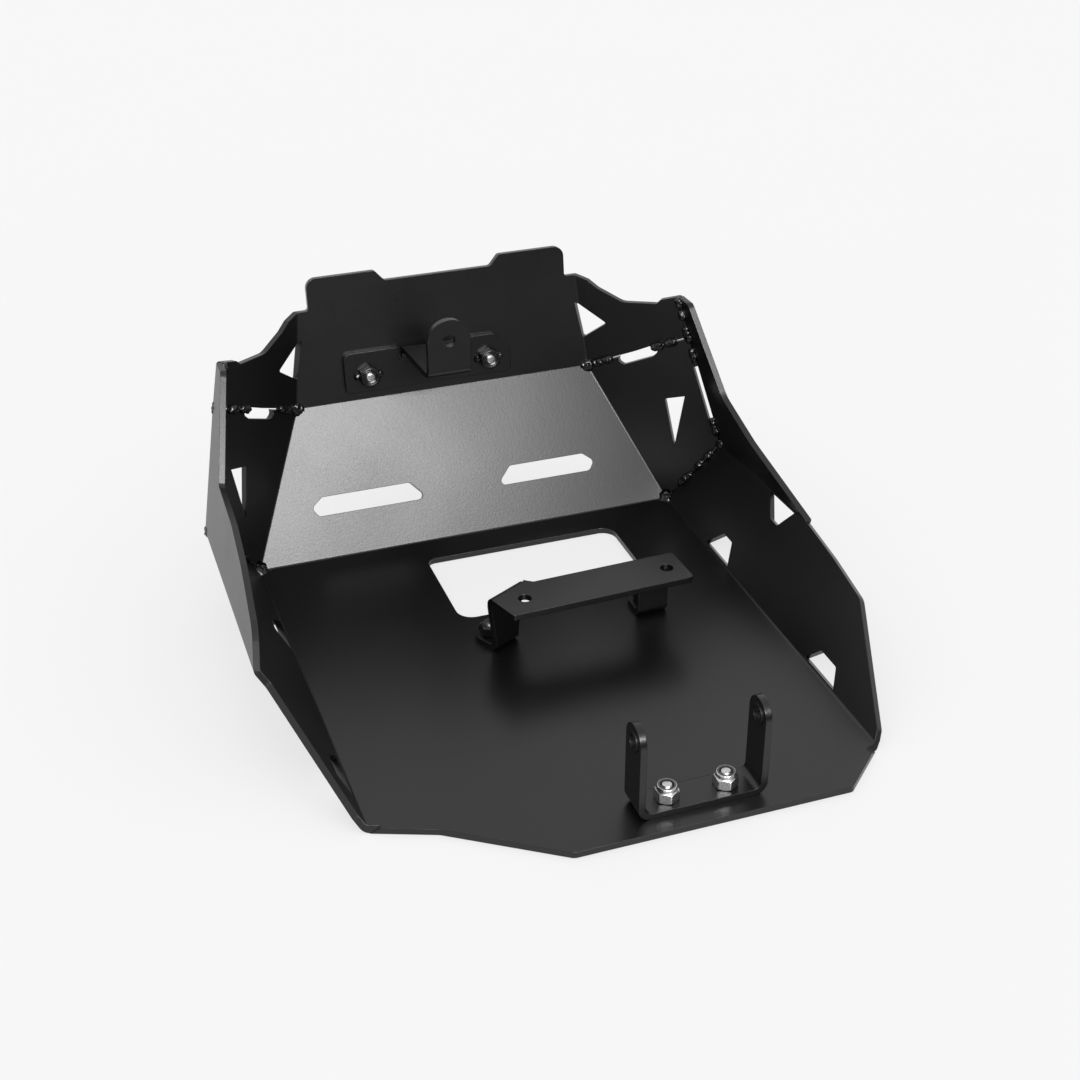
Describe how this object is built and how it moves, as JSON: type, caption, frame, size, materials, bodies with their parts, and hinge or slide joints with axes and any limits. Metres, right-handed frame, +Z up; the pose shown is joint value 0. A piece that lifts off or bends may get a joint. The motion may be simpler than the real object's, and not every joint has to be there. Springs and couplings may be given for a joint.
{
  "type": "motorcycle skid plate",
  "caption": "Folded and welded sheet-metal skid plate, an open tray with a sloped front, side wings and bolted mounting brackets inside.",
  "frame": {"origin": "middle of the flat underside", "axes": "+X to the rider's right, +Y forward along the motorcycle, +Z up"},
  "size_m": [0.3789, 0.4087, 0.1835],
  "materials": {
    "coated_sheet": "satin black powder coat on aluminium sheet",
    "coated_weld": "satin black powder coat on weld metal",
    "coated_tack": "satin black powder coat on weld metal",
    "coated_steel": "satin black powder coat on steel strip",
    "coated_nut": "satin black",
    "bush_steel": "satin dark steel",
    "zinc_nut": "bright zinc plate",
    "zinc_bolt": "bright zinc plate",
    "nylon": "matte nylon"
  },
  "bodies": {
    "root": {"front_bolt_left": "zinc_bolt", "front_bolt_right": "zinc_bolt", "front_bracket": "coated_steel", "front_nut_left": "coated_nut", "front_nut_right": "coated_nut", "front_tack_welds": "coated_tack", "mid_bolt_left": "zinc_bolt", "mid_bolt_right": "zinc_bolt", "mid_bracket": "coated_steel", "mid_nut_left": "coated_nut", "mid_nut_right": "coated_nut", "mid_tack_welds": "coated_tack", "rear_bolt_left": "zinc_bolt", "rear_bolt_right": "zinc_bolt", "rear_bracket": "coated_steel", "rear_bush_left": "bush_steel", "rear_bush_right": "bush_steel", "rear_nut_left": "zinc_nut", "rear_nut_right": "zinc_nut", "rear_nut_ring_left": "nylon", "rear_nut_ring_right": "nylon", "skid_pan": "coated_sheet", "weld_lower_seam_left": "coated_weld", "weld_lower_seam_right": "coated_weld", "weld_side_seam_left": "coated_weld", "weld_side_seam_right": "coated_weld", "weld_top_seam_left": "coated_weld", "weld_top_seam_right": "coated_weld", "weld_upper_seam_left": "coated_weld", "weld_upper_seam_right": "coated_weld"}
  },
  "joints": []
}
